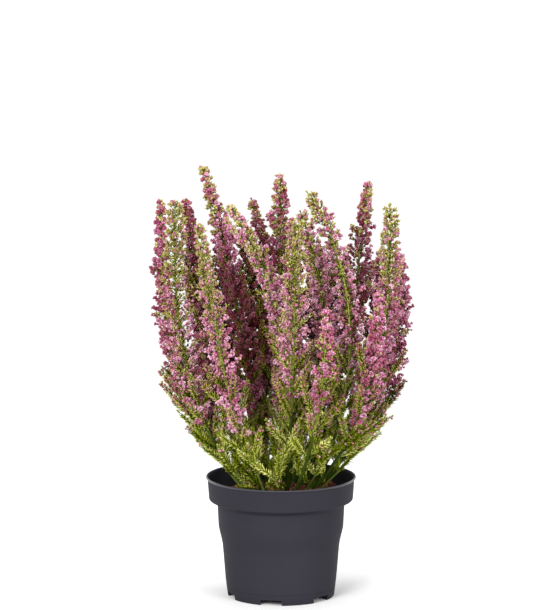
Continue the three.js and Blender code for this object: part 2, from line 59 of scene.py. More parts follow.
# The stems' curves, as in the part but for six that lie a few millimetres nearer to the photo: where
# each ends, the point that its upper part leans on, and its tint. The rest is how each looks, where
# it isn't as in USUAL_LOOK.
STEMS = [
    ((-95, 2, 318), (-100, 4, 185), "pink", dict(parting=300, deep=0.42, width=0.82, green=30,
     loose=0.3)),
    ((-83, -30, 323), (-90, -38, 190), "green", dict(green=125, sage=0.95, parting=270, tip_share=0.54,
     width=1.15)),
    ((-76, 44, 314), (-60, 50, 188), "dark", dict(green=20, shade=0.2, tip_share=0.22, width=1.1,
     leafy=100)),
    ((-64, -54, 309), (-47, -64, 185), "light", dict(green=115, sage=0.95, parting=262)),
    ((-62, 6, 345), (-26, 4, 228), "pink", dict(parting=200, deep=0.1, shade=0.85, shade_below=284,
     green=80, sage=0.6)),
    ((-41, -32, 320), (17, -38, 243), "light", dict(green=100, sage=0.72, parting=230, leafy=36, fade=50,
     starts=16)),
    ((-24, 62, 312), (6, 58, 216), "dark", dict(green=40, shade=0.7, leafy=105, sage=0.4,
     loose=0.4)),
    ((-1, 16, 338), (0, 20, 198), "pink", dict(parting=280, deep=0.1, shade=0.4, green=80, sage=0.65,
     tip_share=0.34, width=1.1)),
    ((11, -64, 313), (11, -68, 190), "green", dict(green=95, sage=0.95, parting=270, leafy=40, fade=60,
     starts=24, tip_share=0.5, width=1.15)),
    ((15, -6, 312), (50, -10, 229), "green", dict(green=65, sage=0.75, parting=250, fade=60, leafy=36,
     starts=16, tip_share=0.45)),
    ((20, -30, 331), (80, -34, 246), "light", dict(green=75, sage=0.8, parting=275, loose=1.15,
     tip_share=0.55, leafy=40, fade=50, starts=12)),
    ((69, 16, 329), (57, 14, 206), "dark", dict(green=60, sage=0.4, parting=280, tip_share=0.26,
     width=1.1, loose=0.5)),
    ((86, -16, 319), (92, -20, 198), "light", dict(green=90, sage=0.92, parting=262, tip_share=0.46,
     width=1.1, bare=54)),
    ((94, 27, 272), (105, 30, 175), "pink", dict(width=1.15, bare=60)),
    ((50, 48, 268), (46, 52, 170), "dark", dict(deep=-0.3, width=1.35)),
    ((36, -79, 246), (34, -93, 165), "pink", dict(green=50, sage=0.45, leafy=40, fade=60, starts=20,
     parting=250)),
    ((76, -50, 252), (78, -62, 165), "pink", dict(green=8, fade=36, bare=50)),
    ((-48, 74, 288), (-52, 84, 165), "pink", dict(green=20, loose=0.5, width=1.2)),
    ((8, 83, 285), (8, 90, 170), "pink", dict(green=10, loose=0.5, width=1.3)),
    ((42, 76, 280), (42, 85, 170), "light", dict(green=40, loose=0.3, width=1.2)),
    ((80, 55, 268), (84, 62, 170), "pink", dict(green=12, width=1.2, bare=56)),
    ((-28, 30, 290), (-21, 28, 185), "dark", dict(shade=0.75, width=1.4, leafy=105, green=90, sage=0.5)),
    ((30, 22, 280), (26, 24, 185), "dark", dict(shade=0.5, width=1.3, leafy=95)),
]
# green: how far from the tip some buds stay green, and sage: the share of them. parting: the side, in
# degrees from +X, where fewer florets let the stem show. From 0 to 1, loose: how thinly it is set,
# shade: how dark it is deep in the bush, and deep: how far its florets keep to their darker tones.
# tip_share and width: shares of the full radius. starts and fade: how far past the spike's foot its
# florets start, and over how much they thin out there. leafy: how far past that foot leafy twigs go
# on. bare: how far above the root the first one is. shade_below: the height under which it gets dark.
USUAL_LOOK = dict(green=5, sage=0.3, parting=None, loose=0.0, shade=0.0, deep=0.0, tip_share=0.28, width=1.0,
                  starts=0, fade=30, leafy=30, bare=28, shade_below=310)
ROOT_Z = 75
ROOT_RING = 4
ROOT_SPREAD = 0.13
STEM_SPREAD = 0.46
STEM_RISE = 42
SPIKE_START_Z = 148
SPIKE_START_STEP = 6

# The leafy shoots: which way each turns from +X in degrees, how far it reaches and how high
SHOOTS = [
    (2, 84, 146), (26, 68, 130), (75, 66, 138), (112, 62, 130),
    (134, 68, 136), (162, 64, 130), (192, 68, 138), (220, 65, 130),
    (246, 64, 134), (268, 60, 128), (306, 66, 132), (334, 76, 134),
]
SHOOT_ROOT_RADIUS = 21
SHOOT_SPREAD, SHOOT_RISE = 0.25, 21
SHOOT_BEND, SHOOT_BEND_DROP = 0.8, 22
TWIG_BEND = 0.7
TWIG_STEPS = 12

# Single leafy twigs that stand out at the sides or fill gaps low in the bush, by the number of their
# stem: the height they leave it at, where they end, how pink they are and, if they have it, how dark their
# painted shade is
PLUMES = {
    0: [(118, (-59, -6, 117), 0.05), (112, (-67, 2, 127), 0.05), (118, (-73, -6, 136), 0.1),
        (124, (-79, 4, 143), 0.1), (130, (-84, -4, 150), 0.3), (138, (-90, 4, 160), 0.6),
        (144, (-97, -4, 172), 0.8), (150, (-98, 8, 180), 0.8)],
    1: [(112, (-66, -34, 128), 0.1), (122, (-76, -36, 142), 0.3)],
    3: [(90, (-36, -40, 95), 0.0, 0.5), (94, (-38, -30, 104), 0.05, 0.5)],
    5: [(90, (-12, -42, 97), 0.1, 0.5)],
    7: [(100, (-8, 8, 146), 0.1), (110, (-12, 10, 158), 0.15), (88, (-4, 6, 124), 0.05)],
    8: [(92, (-4, -46, 101), 0.2, 0.5)],
    12: [(108, (62, -16, 119), 0.1), (112, (70, -22, 125), 0.2), (118, (81, -16, 133), 0.25),
         (124, (83, -8, 139), 0.2), (130, (91, -14, 147), 0.35)],
    13: [(136, (96, 14, 161), 0.8), (142, (101, 16, 170), 0.8)],
    14: [(92, (44, 20, 124), 0.05, 0.3), (98, (52, 30, 136), 0.2, 0.3), (104, (48, 30, 142), 0.1)],
    16: [(118, (74, -40, 137), 0.2), (128, (82, -42, 150), 0.35)],
    17: [(92, (-37, 36, 122), 0.1)],
    18: [(92, (-11, 40, 116), 0.05), (96, (-14, 42, 126), 0.05), (90, (-6, 34, 132), 0.1, 0.4)],
    19: [(98, (37, 50, 138), 0.1), (104, (42, 54, 146), 0.1)],
    20: [(98, (47, 34, 136), 0.1), (104, (51, 38, 146), 0.2)],
    21: [(98, (-22, 8, 150), 0.15), (104, (-28, 16, 160), 0.2), (90, (-17, 10, 136), 0.05)],
    22: [(100, (2, 10, 148), 0.1), (86, (-9, 8, 132), 0.05), (88, (16, 22, 122), 0.05)],
}

# Short flowering side shoots in the same way: height, end, width as a share and how dark their painted
# shade is
SIDE_SPIKES = {
    0: [(116, (-69, 6, 212), 0.85, 0.2)],
    2: [(158, (-80, 42, 258), 0.85, 0.3), (128, (-68, 38, 206), 0.8, 0.3)],
    5: [(276, (-46, -33, 309), 0.5, 0.0)],
    7: [(284, (-9, 13, 309), 0.4, 0.1)],
    11: [(200, (76, 14, 268), 0.7, 0.3)],
    12: [(250, (79, -14, 287), 0.45, 0.0)],
    14: [(190, (70, 44, 264), 0.85, 0.3)],
    17: [(138, (-77, 66, 228), 0.8, 0.3), (100, (-51, 48, 158), 0.7, 0.3),
         (160, (-43, 66, 266), 0.8, 0.5)],
    18: [(132, (-23, 64, 248), 1.0, 0.85)],
    21: [(112, (-33, 12, 176), 0.7, 0.7), (138, (-13, 34, 238), 0.8, 0.9)],
    22: [(112, (2, 22, 172), 0.7, 0.6), (236, (21, 16, 286), 0.7, 0.2)],
}

SPIKE_RADIUS = 11.5
SPIKE_TAPER = 90
SPIKE_LEAD = 14
WHORL_SPACING = 5.2
BUD_LENGTH = 3.3
BUD_WIDTH = 2.7
LEAF_LENGTH = 5.2
SAGE_LEAST = 0.07
GOLDEN = math.radians(137.5)

# How far the leafy twigs may reach from the axis at each height, on the left and on the right
TWIG_REACH_Z = (90, 100, 107, 113, 120, 126, 133, 139, 145, 152, 158, 171)
TWIG_REACH_LEFT = (36, 39, 45, 52, 61, 67, 72, 76, 81, 86, 91, 97)
TWIG_REACH_RIGHT = (28, 28, 30, 38, 50, 64, 78, 84, 88, 91, 94, 100)


# ---- curves

def unit(vectors):
    return vectors / np.maximum(np.linalg.norm(vectors, axis=-1, keepdims=True), 1e-9)


class Axis:
    """A cubic curve as a chain of short steps, measured by the distance along it."""

    def __init__(self, root, spread, bend, tip, steps=64):
        root, spread, bend, tip = (np.array(p, float) for p in (root, spread, bend, tip))
        t = np.linspace(0, 1, steps + 1)[:, None]
        self.points = ((1 - t) ** 3 * root + 3 * (1 - t) ** 2 * t * spread
                       + 3 * (1 - t) * t ** 2 * bend + t ** 3 * tip)
        gaps = np.linalg.norm(np.diff(self.points, axis=0), axis=1)
        self.lengths = np.concatenate([[0], np.cumsum(gaps)])
        self.length = self.lengths[-1]

    def at(self, distance):
        return np.stack([np.interp(distance, self.lengths, self.points[:, k]) for k in range(3)], -1)

    def frame(self, distance):
        distance = np.asarray(distance, float)
        ahead = unit(self.at(distance + 1) - self.at(distance - 1))
        across = unit(np.cross([0.0, 1.0, 0.0], ahead))
        return ahead, across, np.cross(ahead, across)

    def at_height(self, z):
        return float(np.interp(z, self.points[:, 2], self.lengths))


def stem_axis(tip, bend):
    bend = np.array(bend, float)
    away = np.array([bend[0], bend[1], 0.0])
    root = unit(away) * (ROOT_RING + ROOT_SPREAD * np.linalg.norm(away))
    root[2] = ROOT_Z
    spread = root + away * STEM_SPREAD + [0, 0, STEM_RISE]
    return Axis(root, spread, bend, tip)


def shoot_axis(turn, reach, rise):
    angle = math.radians(turn)
    out = np.array([math.cos(angle), math.sin(angle), 0.0])
    up = np.array([0.0, 0.0, 1.0])
    return Axis(
        out * SHOOT_ROOT_RADIUS + up * ROOT_Z,
        out * (SHOOT_ROOT_RADIUS + reach * SHOOT_SPREAD) + up * (ROOT_Z + SHOOT_RISE),
        out * reach * SHOOT_BEND + up * (rise - SHOOT_BEND_DROP),
        out * reach + up * rise,
    )


def twig_axis(start, direction, length, lift):
    """A short twig that leaves along direction and turns upwards by lift."""
    direction = unit(direction)
    end = start + direction * length + np.array([0.0, 0.0, lift * length])
    bend = start + direction * length * TWIG_BEND
    return Axis(start, start + direction * length / 3, bend, end, TWIG_STEPS)


# ---- meshes

def turns(count):
    """Angles spread evenly round a circle."""
    return np.arange(count) * 2 * math.pi / count


def ring_faces(rings, sides):
    """The faces over rings of points that are followed by a point for the foot and one for the top."""
    faces = []
    foot, last = rings * sides, (rings - 1) * sides
    for i in range(sides):
        j = (i + 1) % sides
        for k in range(rings - 1):
            a, b = k * sides + i, k * sides + j
            faces += [(a, b, b + sides), (a, b + sides, a + sides)]
        faces += [(foot, j, i), (last + i, last + j, foot + 1)]
    return np.array(faces)


class Shape:
    """A small closed shape that is copied many times: a ring of points between its foot and its top.
    notch is how deep the ring is cut between its lobes, and drop how far it sinks there."""

    def __init__(self, foot, z, radius, top, around, lobes=1, notch=0.0, drop=0.0):
        points = []
        for angle in turns(around):
            dent = 0.5 - 0.5 * math.cos(lobes * angle)
            wide = radius * (1 - notch * dent)
            points.append((wide * math.cos(angle), wide * math.sin(angle), z - drop * dent))
        self.points = np.array(points + [(0.0, 0.0, foot), (0.0, 0.0, top)])
        self.faces = ring_faces(1, around)
        self.along = np.clip(self.points[:, 2], 0.0, 1.0)


class Awl(Shape):
    """A slim three-sided leaf: widest at its foot, pointed at its tip."""

    def __init__(self, radius, foot):
        around = [(radius * math.cos(turn), radius * math.sin(turn), foot) for turn in turns(3)]
        self.points = np.array(around + [(0, 0, 1)])
        self.faces = np.array([(0, 2, 1), (0, 1, 3), (1, 2, 3), (2, 0, 3)])
        self.along = np.array([0.0, 0.0, 0.0, 1.0])


BEAD = Shape(0.0, 0.58, 0.44, 1.0, 5)
INNER_BEAD = Shape(0.0, 0.5, 0.5, 1.0, 4)
CUP = Shape(0.0, 1.0, 0.60, 0.55, 4)
STAR = Shape(0.0, 1.0, 0.62, 0.50, 8, 4, 0.62, 0.42)
SLIM_BUD = Shape(0.0, 0.42, 0.20, 1.0, 4)
NEEDLE = Awl(0.130, 0.12)
STALK = Shape(0.0, 0.04, 1.0, 1.0, 3)
CRUMB = Shape(-0.5, 0.0, 0.6, 0.5, 5, 2, 0.35)

# How far copies that share a tone keep to it, and how far up its tones a stem goes from end to end
TONE_SHARE, CHANCE_SHARE = 0.66, 0.34
TUBE_ALONG = 0.35


class Surface:
    """Collects closed shapes into one mesh. Each vertex carries along (0 at a shape's foot, 1 at
    its top), chance (one number for each shape), green (0 to 1) and shade (0 to 1, inside the bush)."""

    KEYS = ("along", "chance", "green", "shade")

    def __init__(self):
        self.points, self.faces, self.smooth = [], [], []
        self.values = {key: [] for key in self.KEYS}
        self.count = 0

    def add(self, points, faces, smooth=True, **values):
        self.points.append(points)
        self.faces.append(faces + self.count)
        self.smooth.append(np.full(len(faces), smooth))
        for key in self.KEYS:
            self.values[key].append(np.broadcast_to(values.get(key, 0.0), len(points)))
        self.count += len(points)

    def scatter(self, shape, places, ups, lengths, widths, random, green=0.0, shade=0.0, tone=None,
                smooth=True, deep=0.0):
        """Copies of shape on places, standing along ups, turned at random. A tone makes their chances
        alike, and deep lowers them all."""
        places, z = np.asarray(places), unit(np.asarray(ups))
        n = len(places)
        if n == 0:
            return
        x = unit(np.cross(z, unit(random.normal(size=(n, 3)))))
        y = np.cross(z, x)
        lengths = np.broadcast_to(lengths, n)[:, None, None]
        widths = np.broadcast_to(widths, n)[:, None, None]
        p = shape.points
        copies = places[:, None, :] + lengths * p[None, :, 2, None] * z[:, None, :]
        copies = copies + widths * (p[None, :, 0, None] * x[:, None, :] + p[None, :, 1, None] * y[:, None, :])
        offsets = (np.arange(n) * len(p))[:, None, None]
        faces = (shape.faces[None] + offsets).reshape(-1, 3)
        chance = random.random(n)
        if tone is not None:
            chance = TONE_SHARE * tone + CHANCE_SHARE * chance
        each = {"chance": chance * (1 - deep), "green": green, "shade": shade}
        each = {key: np.repeat(np.broadcast_to(value, n), len(p)) for key, value in each.items()}
        self.add(copies.reshape(-1, 3), faces, smooth, along=np.tile(shape.along, n), **each)

    def tube(self, axis, start, end, radii, sides, steps, chance, flat=np.ones_like, shade=0.0, green=0.0):
        """A round stem along an axis; radii are those at the start and at the end, and flat says how
        much wider than deep it is at each distance."""
        distance = np.linspace(start, end, steps + 1)
        ahead, across, side = axis.frame(distance)
        share = np.linspace(0, 1, steps + 1)
        radius = radii[0] + (radii[1] - radii[0]) * share
        wide = flat(distance)
        angle = turns(sides)
        ring = axis.at(distance)[:, None, :]
        ring = ring + (radius * wide)[:, None, None] * np.cos(angle)[None, :, None] * across[:, None, :]
        ring = ring + (radius / wide)[:, None, None] * np.sin(angle)[None, :, None] * side[:, None, :]
        points = np.concatenate([ring.reshape(-1, 3), axis.at([start]), axis.at([end])])
        along = TUBE_ALONG * np.concatenate([np.repeat(share, sides), [0, 1]])
        self.add(points, ring_faces(steps + 1, sides), along=along, chance=chance, shade=shade, green=green)

    def mesh(self, name):
        points = np.concatenate(self.points) * MM
        faces = np.concatenate(self.faces)
        mesh = bpy.data.meshes.new(name)
        mesh.vertices.add(len(points))
        mesh.vertices.foreach_set("co", points.astype(np.float32).ravel())
        mesh.loops.add(faces.size)
        mesh.loops.foreach_set("vertex_index", faces.astype(np.int32).ravel())
        mesh.polygons.add(len(faces))
        mesh.polygons.foreach_set("loop_start", np.arange(0, faces.size, 3, dtype=np.int32))
        mesh.polygons.foreach_set("use_smooth", np.concatenate(self.smooth))
        for key in self.KEYS:
            values = np.concatenate(self.values[key]).astype(np.float32)
            mesh.attributes.new(key, "FLOAT", "POINT").data.foreach_set("value", values)
        mesh.update(calc_edges=True)
        mesh.validate()
        return mesh


def add_object(name, data):
    added = bpy.data.objects.new(name, data)
    bpy.context.scene.collection.objects.link(added)
    return added


def make_piece(name, mesh, material, slot, *nodes):
    piece = add_object(name, mesh)
    mesh.materials.append(material)
    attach(piece, ROOT)
    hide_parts(*nodes)
    return piece


# ---- materials

class Nodes:
    """Short calls that add and join a material's nodes."""

    def __init__(self, name):
        self.material = bpy.data.materials.new(name)
        self.material.use_nodes = True
        self.tree = self.material.node_tree
        self.shader = self.tree.nodes["Principled BSDF"]

    def add(self, kind, inputs=None, **settings):
        node = self.tree.nodes.new(kind)
        for key, value in settings.items():
            setattr(node, key, value)
        for key, value in (inputs or {}).items():
            self.set(node.inputs[key], value)
        return node

    def set(self, socket, value):
        if isinstance(value, bpy.types.NodeSocket):
            self.tree.links.new(value, socket)
        else:
            socket.default_value = value

    def attribute(self, name):
        return self.add("ShaderNodeAttribute", attribute_name=name).outputs["Fac"]

    def noise(self, scale, detail=3.0, roughness=0.5):
        place = self.add("ShaderNodeTexCoord").outputs["Object"]
        inputs = {"Vector": place, "Scale": scale, "Detail": detail, "Roughness": roughness}
        return self.add("ShaderNodeTexNoise", inputs).outputs["Fac"]

    def ramp(self, value, places, colours):
        ramp = self.add("ShaderNodeValToRGB", {"Fac": value})
        elements = ramp.color_ramp.elements
        while len(elements) < len(places):
            elements.new(0.5)
        for element, place, colour in zip(elements, places, colours):
            element.position, element.color = place, (*colour, 1.0)
        return ramp.outputs["Color"]

    def mix(self, share, a, b, blend="MIX"):
        node = self.add("ShaderNodeMix", data_type="RGBA", blend_type=blend)
        for socket, value in zip((node.inputs[0], node.inputs[6], node.inputs[7]), (share, a, b)):
            if isinstance(value, tuple):
                value = (*value, 1.0)
            self.set(socket, value)
        return node.outputs[2]

    def math(self, operation, a, b):
        node = self.add("ShaderNodeMath", operation=operation)
        self.set(node.inputs[0], a)
        self.set(node.inputs[1], b)
        return node.outputs[0]

    def total(self, *terms):
        """The sum of weighted values, each less its own middle where it has one."""
        total = None
        for value, weight, *middle in terms:
            if middle:
                value = self.math("SUBTRACT", value, middle[0])
            value = self.math("MULTIPLY", value, weight)
            total = value if total is None else self.math("ADD", total, value)
        return total

    def span(self, value, low, high, to_low=0.0, to_high=1.0):
        inputs = {"Value": value, "From Min": low, "From Max": high, "To Min": to_low, "To Max": to_high}
        return self.add("ShaderNodeMapRange", inputs).outputs["Result"]

    def bump(self, height, strength, distance):
        inputs = {"Height": height, "Strength": strength, "Distance": distance}
        self.set(self.shader.inputs["Normal"], self.add("ShaderNodeBump", inputs).outputs["Normal"])

    def finish(self, **values):
        for key, value in values.items():
            self.set(self.shader.inputs[key.replace("_", " ")], value)
        return self.material


# Each tint's deepest, middle and lightest tone
FLORET_COLOURS = {
    "pink": ((0.117, 0.003, 0.014), (0.225, 0.024, 0.091), (0.455, 0.168, 0.300)),
    "light": ((0.128, 0.006, 0.023), (0.278, 0.053, 0.136), (0.52, 0.255, 0.385)),
    "dark": ((0.094, 0.002, 0.011), (0.163, 0.011, 0.048), (0.36, 0.098, 0.195)),
    "green": ((0.119, 0.008, 0.020), (0.268, 0.056, 0.127), (0.505, 0.250, 0.370)),
}
PALE_TIP_AND_HIGHLIGHT = (0.66, 0.54, 0.61)
GREEN_BUD = ((0.070, 0.064, 0.002), (0.200, 0.206, 0.024), (0.45, 0.455, 0.200))
BROWN_BUD = (0.200, 0.138, 0.034)
BROWN_SHARE = {"pink": 0.75, "light": 0.3, "dark": 0.6, "green": 0.2}
FLORET_SHADE = (0.42, 0.29, 0.24)
LEAF_SHADE = (0.43, 0.37, 0.17)
SAGE = (0.242, 0.240, 0.054)
STEM_TONES = ((0.015, 0.026, 0.003), (0.048, 0.076, 0.008), (0.16, 0.21, 0.05))
LEAF_TONES = ((0.018, 0.028, 0.0), (0.188, 0.224, 0.006), (0.74, 0.72, 0.23))
SOIL_TONES = ((0.014, 0.004, 0.003), (0.070, 0.018, 0.012), (0.20, 0.068, 0.045))
POT_TONES = ((0.0110, 0.0100, 0.0145), (0.0165, 0.0155, 0.0215))


def floret_material(tint):
    """Petals from deep to pale, lighter towards their top: partly their own colour, partly painted shade at
    their foot between florets. A pale tip, partly the petals' own and partly a painted highlight; green at
    the calyx; buds from green to brown, with a blush on top; painted shade deep in the bush.
    """
    m = Nodes(f"florets_{tint}")
    along, chance, green = m.attribute("along"), m.attribute("chance"), m.attribute("green")
    patches, petals = m.noise(70.0, 2.0), m.noise(1100.0, 1.0)
    # Lighter towards each floret's top: partly its own colour, partly painted shade at its foot between
    # florets
    tone = m.total((chance, 0.50), (along, 0.45), (patches, 0.7, 0.5), (petals, 1.5, 0.47))
    colour = m.ramp(tone, (0.14, 0.52, 0.98), FLORET_COLOURS[tint])
    # A pale tip: partly the petals' own pale tips, partly a painted highlight
    pale_tip_and_highlight = m.math("MULTIPLY", m.span(along, 0.78, 1.0), m.span(chance, 0.35, 0.95))
    colour = m.mix(pale_tip_and_highlight, colour, PALE_TIP_AND_HIGHLIGHT)
    calyx = m.math("MULTIPLY", m.span(along, 0.44, 0.12), m.span(chance, 1.0, 0.3, 0.0, 0.5))
    colour = m.mix(calyx, colour, GREEN_BUD[1])
    bud = m.ramp(along, (0.1, 0.55, 1.0), GREEN_BUD)
    bud = m.mix(m.span(chance, 0.15, 0.75, 0.0, BROWN_SHARE[tint]), bud, BROWN_BUD)
    blush = m.math("MULTIPLY", m.span(along, 0.75, 1.0), m.span(chance, 0.5, 1.0, 0.0, 0.32))
    colour = m.mix(green, colour, m.mix(blush, bud, FLORET_COLOURS[tint][2]))
    colour = m.mix(m.attribute("shade"), colour, FLORET_SHADE, "MULTIPLY")
    m.bump(m.noise(900.0, 2.0), 0.35, 0.0004)
    return m.finish(Base_Color=colour, Roughness=0.5, Specular_IOR_Level=0.03)


def green_material(name, tones, scale=60.0):
    """Stems or leaves, darker at their foot and in patches, greyer by green."""
    m = Nodes(name)
    along, chance, shade = m.attribute("along"), m.attribute("chance"), m.attribute("shade")
    tone = m.total((chance, 0.60), (along, 0.44), (m.noise(scale), 0.6, 0.4))
    colour = m.ramp(tone, (0.12, 0.55, 1.0), tones)
    colour = m.mix(m.attribute("green"), colour, SAGE)
    colour = m.mix(shade, colour, LEAF_SHADE, "MULTIPLY")
    m.bump(m.noise(700.0, 2.0), 0.3, 0.0003)
    return m.finish(Base_Color=colour, Roughness=0.55, Specular_IOR_Level=0.03)


def soil_material():
    m = Nodes("peat_soil")
    tone = m.total((m.attribute("chance"), 0.7), (m.noise(420.0, 5.0), 0.5))
    m.bump(m.noise(1400.0, 5.0, 0.7), 0.8, 0.0008)
    colour = m.ramp(tone, (0.2, 0.55, 0.95), SOIL_TONES)
    return m.finish(Base_Color=colour, Roughness=0.9, Specular_IOR_Level=0.08)


def pot_material(name, roughness, specular):
    """Dark plastic, matt on the pot's body and worn smooth on its lip."""
    m = Nodes(name)
    cloud = m.noise(14.0, 4.0)
    fine = m.noise(2600.0, 2.0)
    colour = m.ramp(m.total((cloud, 0.8), (fine, 0.2)), (0.25, 0.75), POT_TONES)
    m.bump(fine, 0.12, 0.0003)
    rough = m.span(cloud, 0.3, 0.7, roughness - 0.05, roughness + 0.05)
    return m.finish(Base_Color=colour, Roughness=rough, Specular_IOR_Level=specular)


FLORETS = {tint: floret_material(tint) for tint in FLORET_COLOURS}
STEM_GREEN = green_material("stem_green", STEM_TONES)
LEAF_GREEN = green_material("leaf_green", LEAF_TONES)


# ---- the plant

BOX_LOW, BOX_HIGH = np.array(CAD_BOX) / MM
FULL_TURN = 6.28

# A spike widens over its foot and tapers to its tip
SPIKE_FOOT = 0.65
SPIKE_FOOT_LENGTH = 70
SPIKE_TAPER_POWER = 0.8
# The shade fades over this height, and low down it keeps a share
SHADE_FADE = 40
SHADE_FOOT = (140, SHADE_FADE, 0.25)
# A loose spike gets thinner this far from its tip, over this length
LOOSE_FROM_TIP = (28, 20)

# Whorls of branchlets: how many by the spike's radius, how unevenly they stand, how steeply they rise in
# degrees, how far they reach, and how many are long ones, this far from the tip
BRANCHLETS = 4
MORE_BRANCHLETS_OVER = (5.5, 8.2)
SPIKE_END = 0.8
RADIUS_RANGE = (0.88, 1.12)
TURN_SPREAD = 0.25
STEP_RANGE = (-1.6, 1.6)
RISE_RANGE = (30, 50)
REACH_RANGE = (0.7, 1.12)
REACH_LEAST = 0.8
BUD_OVERHANG = 0.6
LONG_SHARE = 0.34
LONG_FROM_TIP = (20, 30)
LONG_RANGE = (1.15, 1.45)
# Whorls stand closer where the spike is slim, and further apart where it's loose
SLIM_SPACING, WIDE_SPACING = 0.66, 0.34
LOOSE_SPACING = 0.25
# Which branchlets are kept: at a parting, at a spike's foot, and how far past the CAD model's box
PARTING_EDGE = 0.80
PARTING_SHARE = 0.45
PARTING_FROM_TIP = 35
FOOT_SHARE = 0.2
BOX_SLACK = 2.0
# Florets get smaller from the tip down, over this length
SIZE_AT_TIP, SIZE_DROP, SIZE_DROP_LENGTH = 1.06, 0.20, 75
SIZE_RANGE = (0.8, 1.15)


def rising(value, start, over, least=0, most=1):
    """0 at start, 1 from over further on, and evenly in between, within least and most. A negative
    over looks the other way."""
    return np.clip((value - start) / over, least, most)


def turned(turn, across, side):
    """Directions square to a curve, at some turns about it."""
    return np.cos(turn)[:, None] * across + np.sin(turn)[:, None] * side


def spike_radius(from_foot, from_tip, tip_share):
    foot = SPIKE_FOOT + from_foot / SPIKE_FOOT_LENGTH
    tip = tip_share + (1 - tip_share) * (from_tip / SPIKE_TAPER) ** SPIKE_TAPER_POWER
    return SPIKE_RADIUS * min(1.0, foot, tip)


def inside_box(points, slack):
    """Which points lie in the CAD model's box, or within slack of it."""
    return ((points > BOX_LOW - slack) & (points < BOX_HIGH + slack)).all(axis=-1)


def shade_at(points, look):
    """Darker deep inside the bush, on a stem that stands in the middle, and less so at its foot."""
    z = points[:, 2]
    return look["shade"] * rising(z, look["shade_below"], -SHADE_FADE) * rising(z, *SHADE_FOOT)


def within_bush(point):
    """Whether a twig's tip lies in the bush's outline low down, and in the CAD model's box."""
    radius = math.hypot(point[0], point[1])
    to_right = 0.5 + 0.5 * point[0] / radius
    left = np.interp(point[2], TWIG_REACH_Z, TWIG_REACH_LEFT)
    right = np.interp(point[2], TWIG_REACH_Z, TWIG_REACH_RIGHT)
    return radius < left + (right - left) * to_right and inside_box(point, 0)


def branchlets(axis, start, look, random):
    """A spike's short side branches, whorl by whorl: arrays with one row for each branchlet."""
    whorls = []
    parting = None if look["parting"] is None else math.radians(look["parting"])
    first = start - SPIKE_LEAD + look["starts"]
    distance = first
    last = axis.length - SPIKE_END * SPIKE_RADIUS * look["tip_share"]
    while distance < last:
        from_foot, from_tip = max(0.0, distance - start), axis.length - distance
        radius = spike_radius(from_foot, from_tip, look["tip_share"]) * look["width"]
        radius *= random.uniform(*RADIUS_RANGE)
        count = BRANCHLETS + sum(radius > limit for limit in MORE_BRANCHLETS_OVER)
        turn = 2 * math.pi * (np.arange(count) + random.random()) / count
        turn = turn + random.normal(0, TURN_SPREAD, count)
        low = distance + random.uniform(*STEP_RANGE, count)
        ahead, across, side = axis.frame(low)
        out = turned(turn, across, side)
        faced = np.zeros(count) if parting is None else out[:, :2] @ [math.cos(parting), math.sin(parting)]
        rise = np.radians(random.uniform(*RISE_RANGE, count))[:, None]
        direction = np.cos(rise) * out + np.sin(rise) * ahead
        reach = radius - BUD_LENGTH * BUD_OVERHANG
        reach = reach * random.uniform(*REACH_RANGE, count) / np.cos(rise[:, 0])
        long_one = random.random(count) < LONG_SHARE * rising(from_tip, *LONG_FROM_TIP)
        reach = reach * np.where(long_one, random.uniform(*LONG_RANGE, count), 1.0)
        reach = np.maximum(reach, REACH_LEAST)
        base = axis.at(low)
        kept = (faced < PARTING_EDGE) | (random.random(count) < PARTING_SHARE) | (from_tip < PARTING_FROM_TIP)
        from_first = (distance - first) / look["fade"]
        kept &= random.random(count) < FOOT_SHARE + (1 - FOOT_SHARE) * from_first
        kept &= inside_box(base + direction * reach[:, None], BOX_SLACK)
        whorls.append(dict(base=base, direction=direction, out=out, ahead=ahead, reach=reach, faced=faced,
                           kept=kept, from_tip=np.full(count, from_tip), tone=random.random(count)))
        tight = SLIM_SPACING + WIDE_SPACING * min(1.0, radius / SPIKE_RADIUS)
        loose = LOOSE_SPACING * look["loose"] * rising(from_tip, *LOOSE_FROM_TIP)
        distance += WHORL_SPACING * tight * (1 + loose)
    rows = {key: np.concatenate([whorl[key] for whorl in whorls]) for key in whorls[0]}
    rows["size"] = SIZE_AT_TIP - SIZE_DROP * rising(rows["from_tip"], 0, SIZE_DROP_LENGTH)
    # Painted shade: darker deep inside the bush, for the florets, stalks and leaves of each branchlet
    rows["dim"] = shade_at(rows["base"], look)
    return rows


# How many florets a branchlet carries round its end and nearer its foot, and where along it
OUTER_COUNT = (7, 11)
OUTER_FROM, OUTER_SPAN, OUTER_PACK = 1.02, 0.52, 0.4
PACKED_AT_TIP, PACKED_MOST, PACKED_OVER = 0.52, 0.9, 120
INNER_COUNT = (5.2, 8.6)
INNER_SPAN = (0.1, 0.8)
DENSE_FROM_TIP = (0, 60, 0.1)
LOOSE_LEFT_OUT = 0.8
# Where they look: away from the branchlet, and upwards the more the nearer they are to the tip
FLORET_SPIN = 2.4
FLORET_ASIDE = [0.3, 0.2, 0.9]
SPLAY_RANGE = (0.5, 1.5)
UPRIGHT, UPRIGHT_AT_TIP, UPRIGHT_FADE = 0.25, 0.9, 9
# How many are green buds: most of those on a green branchlet, fewer on others, and more at a parting
GREEN_AT_TIP, GREEN_DROP = 1.6, 1.8
GREEN_PARTED = 0.8
GREEN_IN_BRANCH, GREEN_ELSEWHERE = 0.9, 0.33
GREEN_RANGE, BLOOM_RANGE = (0.8, 1.0), (0.0, 0.2)
# How many are open, and how many of those are stars
OPEN_FROM_TIP = (-10, 80, 0.2, 0.7)
STAR_SHARE = 0.3


